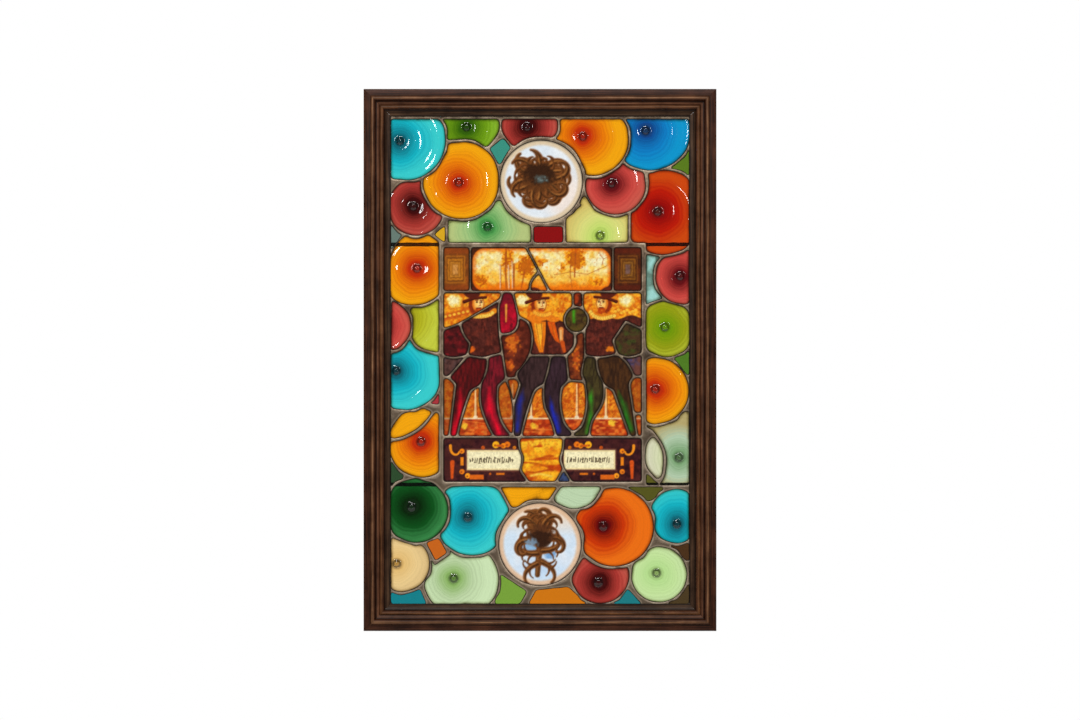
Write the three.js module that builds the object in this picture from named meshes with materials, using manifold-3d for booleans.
// Leaded stained glass window in a moulded oak frame.
//
// Sheet glass and spun crown-glass rondels, nibbled to fit each other, are held in H-section lead
// cames that are soldered into one net. In the middle sits a painted panel, above and below it a round
// painted medallion. The net stands in the rebate of a mitred oak frame, in front of two round iron
// saddle bars whose ends are let into the stiles.
//
// Units are millimetres. X runs to the right and Z up across the face, and Y runs from the front of
// the window (negative) to its back. The origin is the middle of the top rail's back face, which is
// the face that goes against a wall or a window head.

import * as THREE from "three";
import { mergeVertices } from "three/addons/utils/BufferGeometryUtils.js";
import Module from "manifold-3d";

const wasm = await Module();
wasm.setup();

// ---------------------------------------------------------------- driving dimensions

const WIDTH = 550;
const HEIGHT = 845;
const CLEARANCE = 0.3; // between two pieces that touch

// Oak frame. U is measured from the outer edge inwards and H from the back face to the front.
const MOULDING_WIDTH = 42;
const REBATE_WIDTH = 9;
const REBATE_DEPTH = 18;
const OUTER_EDGE_HEIGHT = 28;
const BEAD = { u: 14.6, h: 29.6, r: 3.6 }; // the high outer bead
const FILLET = { u: 19.2, h: 27.6, width: 4.6 };
const ASTRAGAL = { u: 28, h: 25.4, r: 3 }; // the lower inner bead
const COVE = { from: 31.4, top: 24.2, to: 40.2, bottom: 20.6 };

// Leaded panel.
const GLASS_THICKNESS = 3;
const CHANNEL_DEPTH = 3.8; // room for the glass between the came's two flanges
const FLANGE_THICKNESS = 1.6;
const CAME_THICKNESS = CHANNEL_DEPTH + 2 * FLANGE_THICKNESS;
const BORDER_CAME = 5.8; // flange width between rondels
const MEDALLION_CAME = 7.4;
const SURROUND_CAME = 8.6; // round the painted panel
const PICTURE_CAME = 4.4; // between the painted pieces
const GLASS_COVER = 1.9; // how far a border came laps over the glass
const PICTURE_COVER = 1.4;
const RUN_ON = 1.2; // how far each came runs on into the one it is soldered to

// What can be seen of the leaded panel inside its edge cames, and of the painted panel inside its own.
const DAYLIGHT = { left: -232.5, right: 232.5, bottom: -381, top: 376 };
const PICTURE = { left: -150, right: 158, bottom: -189.5, top: 175.5 };
const EDGE_CAME = 7;

// Saddle bars.
const BAR_RADIUS = 3;
const BAR_HEIGHTS = { upper: 181, lower: -195 };
const BAR_SIDES = 12;
const SOCKET_DEPTH = 10;

// Depths of the panel's layers, from the front of the window to the back.
const PANEL_FRONT = -REBATE_DEPTH + CLEARANCE;
const PANEL_BACK = PANEL_FRONT + CAME_THICKNESS;
const GLASS_FRONT = (PANEL_FRONT + PANEL_BACK - GLASS_THICKNESS) / 2;
const GLASS_BACK = GLASS_FRONT + GLASS_THICKNESS;
const BAR_DEPTH = PANEL_BACK + CLEARANCE + BAR_RADIUS;

// The origin is in the middle of the top rail's back face, which ends at the rebate.
const CENTRE_BELOW_ORIGIN = HEIGHT / 2 - (MOULDING_WIDTH - REBATE_WIDTH) / 2;

// ---------------------------------------------------------------- materials

const finish = (color, roughness, metalness = 0) =>
  new THREE.MeshStandardMaterial({ color, roughness, metalness });
const stained = (color) =>
  new THREE.MeshStandardMaterial({ color, roughness: 0.08, transparent: true, opacity: 0.85 });

const OAK = finish(0x4a2c1c, 0.45);
const LEAD = finish(0x857868, 0.55, 0.6);
const IRON = finish(0x2b2724, 0.6, 0.8);
const GLASS = {
  turquoise: stained(0x12c4d2),
  cobalt: stained(0x0a6fd0),
  amber: stained(0xff9c00),
  flame: stained(0xf04a06),
  ruby: stained(0x9c1228),
  rose: stained(0xd2434b),
  emerald: stained(0x0f7a34),
  grass: stained(0x6fb51a),
  lime: stained(0xb9cf2a),
  seagreen: stained(0x86d2a0),
  palegreen: stained(0xc4e8b4),
  straw: stained(0xf3d68e),
  opal: stained(0xe6ecec),
  goldstain: stained(0xfbb63a),
  umber: stained(0x5a2a1e),
  garnet: stained(0x8e1420),
  indigo: stained(0x2b2c5c),
  bottle: stained(0x2f5a2c),
};

// ---------------------------------------------------------------- solids

function solidOf(geometry) {
  const bare = geometry.index ? geometry.toNonIndexed() : geometry.clone();
  bare.deleteAttribute("normal");
  bare.deleteAttribute("uv");
  const merged = mergeVertices(bare, 1e-4);
  return new wasm.Manifold(
    new wasm.Mesh({
      numProp: 3,
      vertProperties: merged.attributes.position.array,
      triVerts: new Uint32Array(merged.index.array),
    }),
  );
}

function geometryOf(solid) {
  const mesh = solid.getMesh();
  const geometry = new THREE.BufferGeometry();
  geometry.setAttribute("position", new THREE.BufferAttribute(mesh.vertProperties, 3));
  geometry.setIndex(new THREE.BufferAttribute(mesh.triVerts, 1));
  return geometry.toNonIndexed();
}

// A flat outline in X and Z, given thickness from front to back.
function slab(points, front, back) {
  const shape = new THREE.Shape(points.map(([x, z]) => new THREE.Vector2(x, z)));
  const geometry = new THREE.ExtrudeGeometry(shape, { depth: back - front, bevelEnabled: false });
  return solidOf(geometry.rotateX(Math.PI / 2).translate(0, back, 0));
}

// ---------------------------------------------------------------- outlines that can grow

const DISC_FACET = 31; // length of a facet of a large round rim
const LEAST_RADIUS = 50; // smaller rims have as many facets as a rim of this radius

const oval = (x, z, halfWidth, halfHeight) => ({
  grown(by) {
    const facets = 2 * Math.round((Math.PI * Math.max(halfWidth, LEAST_RADIUS)) / DISC_FACET);
    return Array.from({ length: facets }, (_, i) => {
      const angle = (2 * Math.PI * (i + 0.5)) / facets;
      return [x + (halfWidth + by) * Math.cos(angle), z + (halfHeight + by) * Math.sin(angle)];
    });
  },
});

const disc = (x, z, radius) => oval(x, z, radius, radius);

// A straight-sided outline, listed anticlockwise as seen from the front. Growing moves each side out.
const quarry = (...corners) => ({
  grown(by) {
    return corners.map((here, i) => {
      const before = corners.at(i - 1);
      const after = corners[(i + 1) % corners.length];
      const a = outward(before, here);
      const b = outward(here, after);
      const reach = by / (1 + a[0] * b[0] + a[1] * b[1]);
      return [here[0] + (a[0] + b[0]) * reach, here[1] + (a[1] + b[1]) * reach];
    });
  },
});

function outward([x0, z0], [x1, z1]) {
  const length = Math.hypot(x1 - x0, z1 - z0);
  return [(z1 - z0) / length, (x0 - x1) / length];
}

const box = ({ left, right, bottom, top }) =>
  quarry([left, bottom], [right, bottom], [right, top], [left, top]);

// A came's centre line, run on a little past both its ends, as a band of the given half width.
function band(line, half) {
  const along = [runOn(line[1], line[0]), ...line.slice(1, -1), runOn(line.at(-2), line.at(-1))];
  const side = (sign) =>
    along.map((here, i) => {
      const a = i > 0 ? outward(along[i - 1], here) : outward(here, along[1]);
      const b = i < along.length - 1 ? outward(here, along[i + 1]) : a;
      const reach = (sign * half) / (1 + a[0] * b[0] + a[1] * b[1]);
      return [here[0] + (a[0] + b[0]) * reach, here[1] + (a[1] + b[1]) * reach];
    });
  return [...side(1), ...side(-1).reverse()];
}

function runOn(from, end) {
  const length = Math.hypot(end[0] - from[0], end[1] - from[1]);
  return end.map((value, i) => value + ((value - from[i]) * RUN_ON) / length);
}

// ---------------------------------------------------------------- border: rondels and cut quarries

// A rondel is a spun disc, with its boss where the glassblower's iron was. A quarry or a filler is cut
// from sheet. Each piece is nibbled away where the pieces in cutBy lie over it, and where it meets the
// painted panel or the edge. Inside and outside are the two sides of a came that mends a cracked
// rondel. The small fillers marked fused are thin webs of the came net.
const MEDALLION_RADIUS = 64;
const SPLIT_AMBER = disc(-244, -38, 86); // a mend across the amber rondel
const SPLIT_PALE = disc(130, -160, 63);

const BORDER = {
  medallion_upper: { outline: disc(2, 279, MEDALLION_RADIUS), glass: "opal", came: MEDALLION_CAME },
  medallion_lower: { outline: disc(0, -288, MEDALLION_RADIUS), glass: "opal", came: MEDALLION_CAME },

  rondel_turquoise_top_left: { outline: disc(-212, 345, 64), boss: [-213, 344], glass: "turquoise" },
  rondel_amber_top_left: {
    outline: disc(-123, 281, 60),
    boss: [-121, 279],
    glass: "amber",
    cutBy: ["rondel_turquoise_top_left", "medallion_upper"],
  },
  rondel_green_top: {
    outline: disc(-109, 371, 46),
    boss: [-109, 366],
    glass: "grass",
    cutBy: ["rondel_turquoise_top_left", "rondel_amber_top_left"],
  },
  rondel_ruby_top: {
    outline: disc(-16, 371, 44.5),
    boss: [-14, 366],
    glass: "ruby",
    cutBy: ["medallion_upper", "rondel_green_top"],
  },
  rondel_amber_top_right: {
    outline: disc(80, 346, 58),
    boss: [73, 351],
    glass: "amber",
    cutBy: ["medallion_upper", "rondel_ruby_top"],
  },
  rondel_cobalt_top_right: {
    outline: disc(172, 362, 65),
    boss: [171, 360],
    glass: "cobalt",
    cutBy: ["rondel_amber_top_right"],
  },
  rondel_rose_top_right: {
    outline: disc(118, 275, 47),
    boss: [118, 278],
    glass: "rose",
    cutBy: ["rondel_amber_top_right", "rondel_cobalt_top_right", "medallion_upper"],
  },
  rondel_flame_right: {
    outline: disc(192, 231, 66),
    boss: [190, 232],
    glass: "flame",
    cutBy: ["rondel_cobalt_top_right", "rondel_rose_top_right", "quarry_yellowgreen_upper"],
  },
  rondel_ruby_left: {
    outline: disc(-194, 239, 44),
    boss: [-192, 242],
    glass: "ruby",
    cutBy: ["rondel_turquoise_top_left", "rondel_amber_top_left"],
  },
  rondel_amber_left: {
    outline: disc(-198, 146, 60),
    boss: [-198, 145],
    glass: "amber",
    cutBy: ["rondel_ruby_left", "filler_yellow_left", "filler_slate_left"],
  },
  rondel_rose_left: { outline: disc(-244, 54, 42), glass: "rose", cutBy: ["rondel_amber_left"] },
  rondel_lime_left: {
    outline: disc(-161, 59, 47),
    glass: "lime",
    cutBy: ["rondel_amber_left", "rondel_rose_left"],
  },
  rondel_turquoise_left: {
    outline: disc(-212, -18, 60),
    boss: [-219, -15],
    glass: "turquoise",
    cutBy: ["rondel_rose_left", "rondel_lime_left"],
  },
  rondel_amber_lower_left: {
    outline: disc(-184, -129, 54),
    boss: [-180, -126],
    glass: "amber",
    cutBy: ["rondel_turquoise_left"],
    outside: SPLIT_AMBER,
  },
  rondel_amber_lower_left_crescent: {
    outline: disc(-184, -129, 54),
    glass: "amber",
    cutBy: ["rondel_turquoise_left"],
    inside: SPLIT_AMBER,
  },
  rondel_emerald_bottom_left: {
    outline: disc(-194, -235, 50),
    boss: [-195, -228],
    glass: "emerald",
    cutBy: ["rondel_amber_lower_left"],
  },
  rondel_turquoise_bottom: {
    outline: disc(-106, -246, 59),
    boss: [-107, -244],
    glass: "turquoise",
    cutBy: ["rondel_emerald_bottom_left", "medallion_lower", "quarry_amber_lower"],
  },
  rondel_palegreen_lower: {
    outline: disc(53, -188, 44),
    glass: "palegreen",
    cutBy: ["medallion_lower", "quarry_amber_lower"],
  },
  rondel_flame_bottom: {
    outline: disc(116, -261, 61),
    boss: [105, -258],
    glass: "flame",
    cutBy: ["medallion_lower", "rondel_palegreen_lower"],
  },
  rondel_turquoise_bottom_right: {
    outline: disc(214, -244, 42),
    boss: [220, -255],
    glass: "turquoise",
    cutBy: ["rondel_flame_bottom"],
  },
  rondel_straw_bottom_left: {
    outline: disc(-217, -318, 44),
    boss: [-218, -317],
    glass: "straw",
    cutBy: ["rondel_emerald_bottom_left"],
  },
  rondel_palegreen_bottom: {
    outline: disc(-123, -344, 58),
    boss: [-129, -340],
    glass: "palegreen",
    cutBy: [
      "rondel_turquoise_bottom",
      "rondel_straw_bottom_left",
      "medallion_lower",
      "filler_orange_bottom_left",
    ],
  },
  rondel_ruby_bottom: {
    outline: disc(94, -335, 45),
    boss: [97, -346],
    glass: "ruby",
    cutBy: ["rondel_flame_bottom", "medallion_lower"],
  },
  rondel_palegreen_bottom_right: {
    outline: disc(186, -335, 43),
    boss: [188, -333],
    glass: "palegreen",
    cutBy: ["rondel_flame_bottom"],
  },
  rondel_rose_right: {
    outline: disc(225, 131, 44),
    boss: [225, 133],
    glass: "rose",
    cutBy: ["rondel_flame_right"],
  },
  rondel_lime_right: {
    outline: disc(198, 49, 44),
    boss: [201, 53],
    glass: "lime",
    cutBy: ["rondel_rose_right"],
  },
  rondel_amber_right: {
    outline: disc(180, -48, 52),
    boss: [186, -44],
    glass: "amber",
    cutBy: ["rondel_lime_right"],
  },
  lens_palegreen_right: { outline: disc(208, -149, 44.5), glass: "palegreen", inside: SPLIT_PALE },

  quarry_seagreen_upper: {
    outline: quarry([-143, 184], [-15, 184], [-15, 226], [-60, 250], [-143, 232]),
    glass: "seagreen",
    boss: [-76, 210],
    cutBy: ["rondel_amber_top_left", "medallion_upper", "rondel_ruby_left"],
  },
  quarry_yellowgreen_upper: {
    outline: quarry([41, 184], [137, 184], [137, 231], [94, 250], [69, 245], [41, 220]),
    glass: "palegreen",
    boss: [100, 196],
    cutBy: ["medallion_upper", "rondel_rose_top_right"],
  },
  quarry_amber_lower: {
    outline: quarry([-61, -199], [-44, -230], [8, -226], [26, -199]),
    glass: "amber",
    cutBy: ["medallion_lower"],
  },
  quarry_seagreen_right: {
    outline: quarry([164, 72], [196, 92], [192, 168], [164, 168]),
    glass: "seagreen",
    cutBy: ["rondel_rose_right", "rondel_lime_right", "rondel_flame_right"],
  },
  quarry_palegreen_right: {
    outline: quarry([165, -195], [232.5, -195], [232.5, -80], [165, -100]),
    glass: "palegreen",
    boss: [223, -151],
    cutBy: ["rondel_amber_right"],
    outside: SPLIT_PALE,
  },

  filler_teal_top: {
    outline: quarry([-81, 328], [-62, 303], [-41, 334], [-58, 346]),
    cutBy: ["rondel_green_top", "rondel_ruby_top", "rondel_amber_top_left", "medallion_upper"],
    fused: true,
  },
  filler_brown_upper: {
    outline: quarry([62, 243], [77, 243], [69, 262]),
    cutBy: ["medallion_upper", "rondel_rose_top_right"],
    fused: true,
  },
  filler_green_top_right: {
    outline: quarry([203, 293], [232.5, 281], [232.5, 328], [203, 328]),
    cutBy: ["rondel_cobalt_top_right", "rondel_flame_right"],
    fused: true,
  },
  filler_ruby_upper: {
    outline: quarry([-9, 184], [35, 184], [35, 208], [-9, 208]),
    cutBy: ["medallion_upper"],
    fused: true,
  },
  filler_yellow_left: {
    outline: quarry([-165, 196], [-149, 184], [-149, 209]),
    cutBy: ["rondel_ruby_left"],
    fused: true,
  },
  filler_slate_left: {
    outline: quarry([-232.5, 173], [-216, 196], [-232.5, 212]),
    cutBy: ["rondel_ruby_left"],
    fused: true,
  },
  filler_red_left: {
    outline: quarry([-176, -67], [-158.6, -69], [-158.6, -48]),
    cutBy: ["rondel_turquoise_left"],
    fused: true,
  },
  filler_green_left: {
    outline: quarry([-232.5, -198], [-216, -188], [-212, -174], [-232.5, -158]),
    cutBy: ["rondel_amber_lower_left", "rondel_emerald_bottom_left"],
    fused: true,
  },
  filler_olive_lower_right: {
    outline: quarry([130, -199], [150, -226], [192, -212], [192, -199]),
    cutBy: ["rondel_flame_bottom", "rondel_turquoise_bottom_right"],
    fused: true,
  },
  filler_orange_bottom_left: {
    outline: quarry([-177, -286], [-163, -313], [-146, -301], [-159, -277]),
    cutBy: ["rondel_emerald_bottom_left", "rondel_turquoise_bottom", "rondel_straw_bottom_left"],
    fused: true,
  },
  filler_green_bottom: {
    outline: quarry([-70, -381], [-32, -381], [-21, -362], [-62, -335]),
    cutBy: ["rondel_palegreen_bottom", "medallion_lower"],
    fused: true,
  },
  filler_orange_bottom: {
    outline: quarry([-17, -381], [72, -381], [44, -355], [-6, -360]),
    cutBy: ["medallion_lower", "rondel_ruby_bottom"],
    fused: true,
  },
  filler_teal_bottom: {
    outline: quarry([115, -381], [158, -381], [137, -358]),
    cutBy: ["rondel_ruby_bottom", "rondel_palegreen_bottom_right"],
    fused: true,
  },
  filler_brown_right: {
    outline: quarry([205, -300], [232.5, -314], [232.5, -285], [205, -287]),
    cutBy: ["rondel_palegreen_bottom_right", "rondel_turquoise_bottom_right"],
    fused: true,
  },
  filler_teal_bottom_left: {
    outline: quarry([-232.5, -381], [-178, -381], [-188, -358], [-232.5, -350]),
    cutBy: ["rondel_straw_bottom_left"],
    fused: true,
  },
  filler_brown_bottom_right: {
    outline: quarry([200, -381], [232.5, -381], [232.5, -350]),
    cutBy: ["rondel_palegreen_bottom_right"],
    fused: true,
  },
  filler_green_right: {
    outline: quarry([208, 8], [215, -8], [232.5, -24], [232.5, 14]),
    cutBy: ["rondel_lime_right", "rondel_amber_right"],
    fused: true,
  },
  filler_olive_right: {
    outline: quarry([166.6, -195], [186, -195], [166.6, -178]),
    cutBy: ["lens_palegreen_right"],
    fused: true,
  },
};

const daylight = box(DAYLIGHT);
const picture = box(PICTURE);

// One border piece as a slab. Grow 0 gives what shows inside the cames, and a larger grow the glass
// or the channel that runs on behind the flange.
function borderPiece(piece, grow, front, back) {
  const past = [front - 1, back + 1];
  const width = piece.came ?? BORDER_CAME;
  const cut = (solid, outline, came) => solid.subtract(slab(outline.grown(came - grow), ...past));
  let solid = slab(piece.outline.grown(grow), front, back);
  solid = solid.intersect(slab(daylight.grown(grow), ...past));
  solid = cut(solid, picture, SURROUND_CAME);
  if (piece.inside) solid = solid.intersect(slab(piece.inside.grown(grow), ...past));
  if (piece.outside) solid = cut(solid, piece.outside, BORDER_CAME);
  for (const name of piece.cutBy ?? []) {
    const over = BORDER[name];
    solid = cut(solid, over.outline, over.came ?? width);
  }
  return solid;
}

// ---------------------------------------------------------------- painted panel

// Centre lines of the cames between the painted pieces, top to bottom. They end on another came's
// line, or just past the painted panel's edge.
const SKY_BAR = 106.5;
const BASE_BAR = -120.5;
const LEFT = PICTURE.left - 2;
const RIGHT = PICTURE.right + 2;
const TOP = PICTURE.top + 2;
const FOOT = PICTURE.bottom - 2;
const PICTURE_CAMES = [
  // the strip of sky between two coffers
  [[LEFT, SKY_BAR], [RIGHT, SKY_BAR]],
  [[-109, TOP], [-109, SKY_BAR]],
  [[114, TOP], [114, SKY_BAR]],
  [[-22, TOP], [15, SKY_BAR]],
  [[-1.5, 138], [-14, 122], [-16, SKY_BAR]],
  // left halberdier: shoulder, sleeve, jacket
  [[-61, 95], [-125, 57], [LEFT, 47]],
  [[-125, 57], [-119, 39], [-109, 26], [-114, 6]],
  [[-58.5, SKY_BAR], [-65, 82], [-63, 40], [-53, -29]],
  [[LEFT, 7], [-136, 3], [-114, 7], [-89, 3], [-58, 11]],
  // tassel and the view behind the middle halberdier
  [[-43, SKY_BAR], [-34, 68], [-36, 51], [-45, 42], [-63, 40]],
  [[-34, 68], [-19, 60], [-12, 35], [-18, 4], [-37, -20], [-36, -28]],
  [[-17, 7], [41, 7]],
  // the middle halberdier's gauntlet and side
  [[51, SKY_BAR], [52, 81]],
  [[67, SKY_BAR], [67, 79.5]],
  [[54, 43], [54, 22], [41, 7], [45, -32]],
  [[69.5, 48], [70, 7], [65, -22], [70, -34]],
  // right halberdier: jacket and sleeve
  [[RIGHT, 48], [134, 60], [114, 30], [121, 9]],
  [[70, 7], [94, 4], [121, 9], [139, 4], [RIGHT, 10]],
  // left halberdier's legs
  [[-114, 7], [-143, -27], [-132, -38], [-142, BASE_BAR]],
  [[LEFT, -27], [-143, -27]],
  [[-82, 3], [-84, -18], [-93, -39], [-109, -50], [-130, BASE_BAR]],
  [[-93, -39], [-92, -74], [-72, BASE_BAR]],
  [[-53, -29], [-66, -41], [-66, -71], [-60, -96], [-43, BASE_BAR]],
  [[-53, -29], [-36, -28]],
  [[-53, -29], [-42, -69]],
  // middle halberdier's legs
  [[-36, -28], [-31, -38], [-41, -69], [-42, BASE_BAR]],
  [[17, 7], [12, -18], [6, -39], [-9, -49], [-30, BASE_BAR]],
  [[6, -39], [7, -71], [18, -96], [25, BASE_BAR]],
  [[51, -114], [51, BASE_BAR]],
  // right halberdier's legs
  [[88, 5], [91, -18], [100, -39], [98, -66], [81, -97], [77, BASE_BAR]],
  [[100, -39], [114, -47], [141, BASE_BAR]],
  [[121, 9], [137, -6], [147, -26], [140, -38], [144, -68], [152, BASE_BAR]],
  [[147, -26], [RIGHT, -26]],
  [[146, -84], [RIGHT, -84]],
  // the base with its two tablets and the shield
  [[LEFT, BASE_BAR], [RIGHT, BASE_BAR]],
  [[-33, BASE_BAR], [-32, -138], [-27, -154], [-31, -172], [-18, FOOT]],
  [[37, BASE_BAR], [36, -138], [32, -155], [37, -170], [25, FOOT]],
  [[37, -170], [50, FOOT]],
];

// Cames that close on themselves: the middle halberdier's gauntlet, and the view beside the leg.
const PICTURE_RINGS = [
  oval(57, 62.5, 18.8, 21),
  quarry([51, -114], [66, -101], [73, -71], [70, -34], [45, -32], [34, -43], [32, -71], [38, -98]),
];

// The painted pieces that are nodes of their own, by a point inside each.
const PICTURE_PIECES = {
  coffer_left: { at: [-130, 140], glass: "umber" },
  sky_left: { at: [-70, 140], glass: "goldstain" },
  sky_right: { at: [60, 140], glass: "goldstain" },
  coffer_right: { at: [136, 140], glass: "umber" },
  head_and_hills_left: { at: [-110, 90], glass: "goldstain" },
  jacket_left: { at: [-85, 35], glass: "umber" },
  chest_and_head_middle: { at: [10, 50], glass: "goldstain" },
  jacket_and_head_right: { at: [95, 50], glass: "umber" },
  sleeve_green_right: { at: [142, 30], glass: "bottle" },
  leg_red_outer: { at: [-118, -25], glass: "garnet" },
  leg_red_inner: { at: [-73, -20], glass: "garnet" },
  leg_blue_outer: { at: [-8, -15], glass: "indigo" },
  leg_blue_inner: { at: [26, -25], glass: "indigo" },
  leg_green_inner: { at: [80, -20], glass: "bottle" },
  leg_green_outer: { at: [118, -20], glass: "bottle" },
  base_tablet_left: { at: [-90, -155], glass: "umber" },
  base_shield: { at: [0, -155], glass: "goldstain" },
  base_tablet_right: { at: [95, -155], glass: "umber" },
};

// Everything inside the painted panel's surround that no came covers.
function pictureGlass(grow, front, back) {
  const past = [front - 1, back + 1];
  const half = PICTURE_CAME / 2 - grow;
  const bars = PICTURE_CAMES.map((line) => slab(band(line, half), ...past));
  const rings = PICTURE_RINGS.map((ring) =>
    slab(ring.grown(half), ...past).subtract(slab(ring.grown(-half), ...past)),
  );
  return [...bars, ...rings].reduce(
    (solid, came) => solid.subtract(came),
    slab(picture.grown(grow), front, back),
  );
}

// The one body of a decomposed slab that holds a point.
function pieceAt(bodies, [x, z]) {
  const probe = box({ left: x - 1, right: x + 1, bottom: z - 1, top: z + 1 });
  const needle = slab(probe.grown(0), PANEL_FRONT - 1, PANEL_BACK + 1);
  return bodies.find((body) => !body.intersect(needle).isEmpty());
}

// ---------------------------------------------------------------- glass with its boss

const BOSS_HEIGHT = 3.6;
const BOSS_PROFILE = [
  [0, BOSS_HEIGHT],
  [7, 0],
];
const BOSS_SIDES = 6;

// The bullion: the swelling that the glassblower's iron leaves in the middle of a spun rondel.
function bossAt([x, z]) {
  const root = -GLASS_THICKNESS / 2;
  const outer = BOSS_PROFILE.at(-1)[0];
  const profile = [...BOSS_PROFILE, [outer, root], [0, root]].reverse();
  const lathe = new THREE.LatheGeometry(
    profile.map(([radius, height]) => new THREE.Vector2(radius, height)),
    BOSS_SIDES,
  );
  return solidOf(lathe.rotateX(Math.PI / 2).translate(x, GLASS_FRONT, z));
}

function borderGlass(piece) {
  const sheet = borderPiece(piece, GLASS_COVER, GLASS_FRONT, GLASS_BACK);
  if (!piece.boss) return sheet;
  const room = borderPiece(piece, -CLEARANCE, GLASS_FRONT - BOSS_HEIGHT, GLASS_BACK);
  return sheet.add(bossAt(piece.boss).intersect(room));
}

// ---------------------------------------------------------------- came net

function cameNet() {
  const edge = daylight.grown(EDGE_CAME);
  const channelFront = PANEL_FRONT + FLANGE_THICKNESS;
  const channelBack = PANEL_BACK - FLANGE_THICKNESS;
  const recesses = [
    [PANEL_FRONT - 1, GLASS_FRONT],
    [GLASS_BACK, PANEL_BACK + 1],
  ];
  let net = slab(edge, PANEL_FRONT, PANEL_BACK);
  for (const piece of Object.values(BORDER)) {
    if (piece.fused) {
      for (const recess of recesses) net = net.subtract(borderPiece(piece, 0, ...recess));
    } else {
      net = net.subtract(borderPiece(piece, 0, PANEL_FRONT - 1, PANEL_BACK + 1));
      net = net.subtract(borderPiece(piece, GLASS_COVER + CLEARANCE, channelFront, channelBack));
    }
  }
  for (const recess of recesses) net = net.subtract(pictureGlass(0, ...recess));
  const through = pictureGlass(0, PANEL_FRONT - 1, PANEL_BACK + 1).decompose();
  const channels = pictureGlass(PICTURE_COVER + CLEARANCE, channelFront, channelBack).decompose();
  for (const { at } of Object.values(PICTURE_PIECES)) {
    net = net.subtract(pieceAt(through, at)).subtract(pieceAt(channels, at));
  }
  return net;
}

// ---------------------------------------------------------------- oak frame

// The moulding's section, from the back outer corner round to the rebate.
function mouldingSection() {
  const shape = new THREE.Shape();
  shape.moveTo(0, 0);
  shape.lineTo(MOULDING_WIDTH - REBATE_WIDTH, 0);
  shape.lineTo(MOULDING_WIDTH - REBATE_WIDTH, REBATE_DEPTH);
  shape.lineTo(MOULDING_WIDTH, REBATE_DEPTH);
  shape.lineTo(MOULDING_WIDTH, COVE.bottom - 0.6);
  shape.lineTo(COVE.to, COVE.bottom);
  shape.quadraticCurveTo(COVE.from + 3, COVE.bottom + 0.2, COVE.from, COVE.top);
  shape.absarc(ASTRAGAL.u, ASTRAGAL.h, ASTRAGAL.r, -0.2, Math.PI, false);
  shape.lineTo(FILLET.u + FILLET.width, FILLET.h - 1.2);
  shape.lineTo(FILLET.u, FILLET.h);
  shape.absarc(BEAD.u, BEAD.h, BEAD.r, 0, Math.PI, false);
  shape.lineTo(BEAD.u - BEAD.r - 0.6, BEAD.h - 0.8);
  shape.lineTo(2, OUTER_EDGE_HEIGHT + 0.4);
  shape.lineTo(0, OUTER_EDGE_HEIGHT - 1.4);
  return shape;
}

// One mitred length: X along it, Z from the outer edge inwards and Y towards the back.
function mouldingLength(length) {
  const geometry = new THREE.ExtrudeGeometry(mouldingSection(), {
    depth: 1,
    bevelEnabled: false,
    curveSegments: 3,
  });
  const positions = geometry.attributes.position;
  const gap = CLEARANCE / 2;
  for (let i = 0; i < positions.count; i++) {
    const u = positions.getX(i);
    const h = positions.getY(i);
    const end = positions.getZ(i) > 0.5 ? 1 : -1;
    positions.setXYZ(i, end * (length / 2 - u - gap), -h, u);
  }
  return geometry;
}

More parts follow.
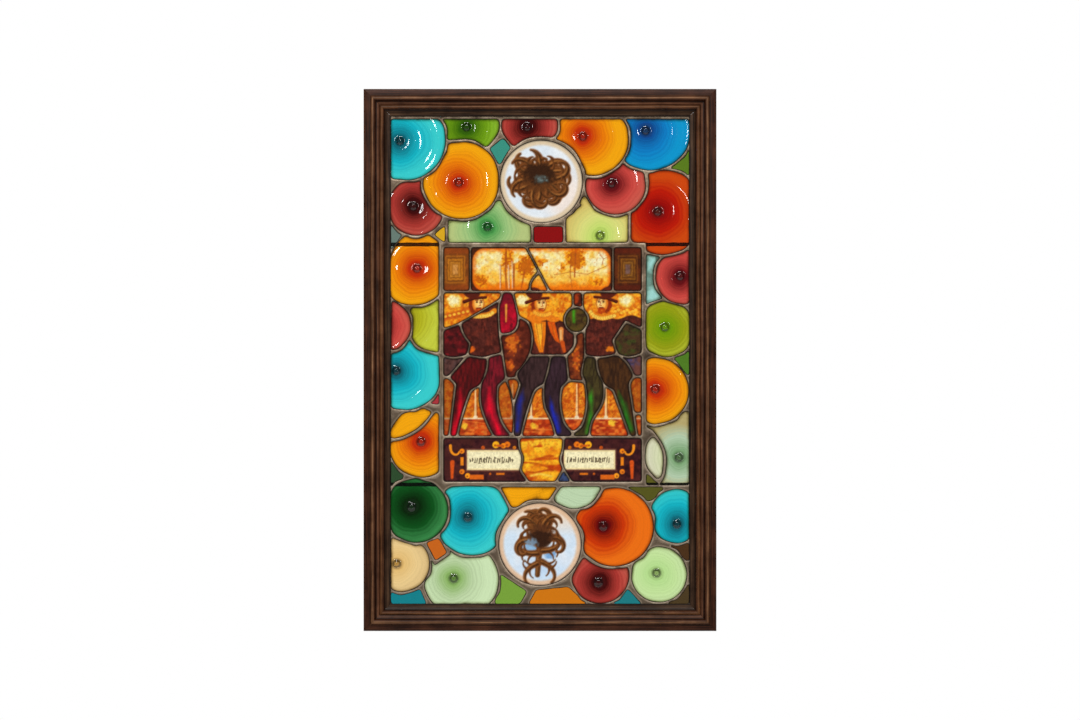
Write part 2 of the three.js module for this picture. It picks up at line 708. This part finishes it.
// A stile is an upright length with a blind socket for each saddle bar. Its own X runs up the window
// on the left stile and down it on the right one.
function stile(up) {
  const mouth = MOULDING_WIDTH - REBATE_WIDTH;
  const radius = BAR_RADIUS + CLEARANCE;
  const length = SOCKET_DEPTH + REBATE_WIDTH;
  const bored = Object.values(BAR_HEIGHTS).reduce((wood, height) => {
    const bit = new THREE.CylinderGeometry(radius, radius, length, BAR_SIDES);
    bit.rotateX(Math.PI / 2).translate(up * height, BAR_DEPTH, mouth - SOCKET_DEPTH + length / 2);
    return wood.subtract(solidOf(bit));
  }, solidOf(mouldingLength(HEIGHT)));
  return geometryOf(bored);
}

// ---------------------------------------------------------------- assembly

// The pieces are placed about the middle of the window, which hangs below the origin.
const stainedGlassWindow = new THREE.Group();
const middle = new THREE.Group();
middle.position.z = -CENTRE_BELOW_ORIGIN;
stainedGlassWindow.add(middle);

function place(name, geometry, material) {
  const mesh = new THREE.Mesh(geometry, material);
  mesh.name = name;
  middle.add(mesh);
  return mesh;
}

function placeFrame() {
  const bottom = place("oak_bottom_rail", mouldingLength(WIDTH), OAK);
  bottom.position.z = -HEIGHT / 2;
  const top = place("oak_top_rail", mouldingLength(WIDTH), OAK);
  top.position.z = HEIGHT / 2;
  top.rotation.y = Math.PI;
  const left = place("oak_left_stile", stile(-1), OAK);
  left.position.x = -WIDTH / 2;
  left.rotation.y = Math.PI / 2;
  const right = place("oak_right_stile", stile(1), OAK);
  right.position.x = WIDTH / 2;
  right.rotation.y = -Math.PI / 2;
}

function placeBars() {
  const reach = WIDTH / 2 - (MOULDING_WIDTH - REBATE_WIDTH - SOCKET_DEPTH) - CLEARANCE;
  for (const [name, height] of Object.entries(BAR_HEIGHTS)) {
    const rod = new THREE.CylinderGeometry(BAR_RADIUS, BAR_RADIUS, 2 * reach, BAR_SIDES);
    const bar = place(`saddle_bar_${name}`, rod, IRON);
    bar.rotation.z = Math.PI / 2;
    bar.position.set(0, BAR_DEPTH, height);
  }
}

function placeGlass() {
  for (const [name, piece] of Object.entries(BORDER)) {
    if (!piece.fused) place(name, geometryOf(borderGlass(piece)), GLASS[piece.glass]);
  }
  const bodies = pictureGlass(PICTURE_COVER, GLASS_FRONT, GLASS_BACK).decompose();
  for (const [name, { at, glass }] of Object.entries(PICTURE_PIECES)) {
    place(name, geometryOf(pieceAt(bodies, at)), GLASS[glass]);
  }
}

placeFrame();
placeBars();
place("came_net", geometryOf(cameNet()), LEAD);
placeGlass();

export default stainedGlassWindow;
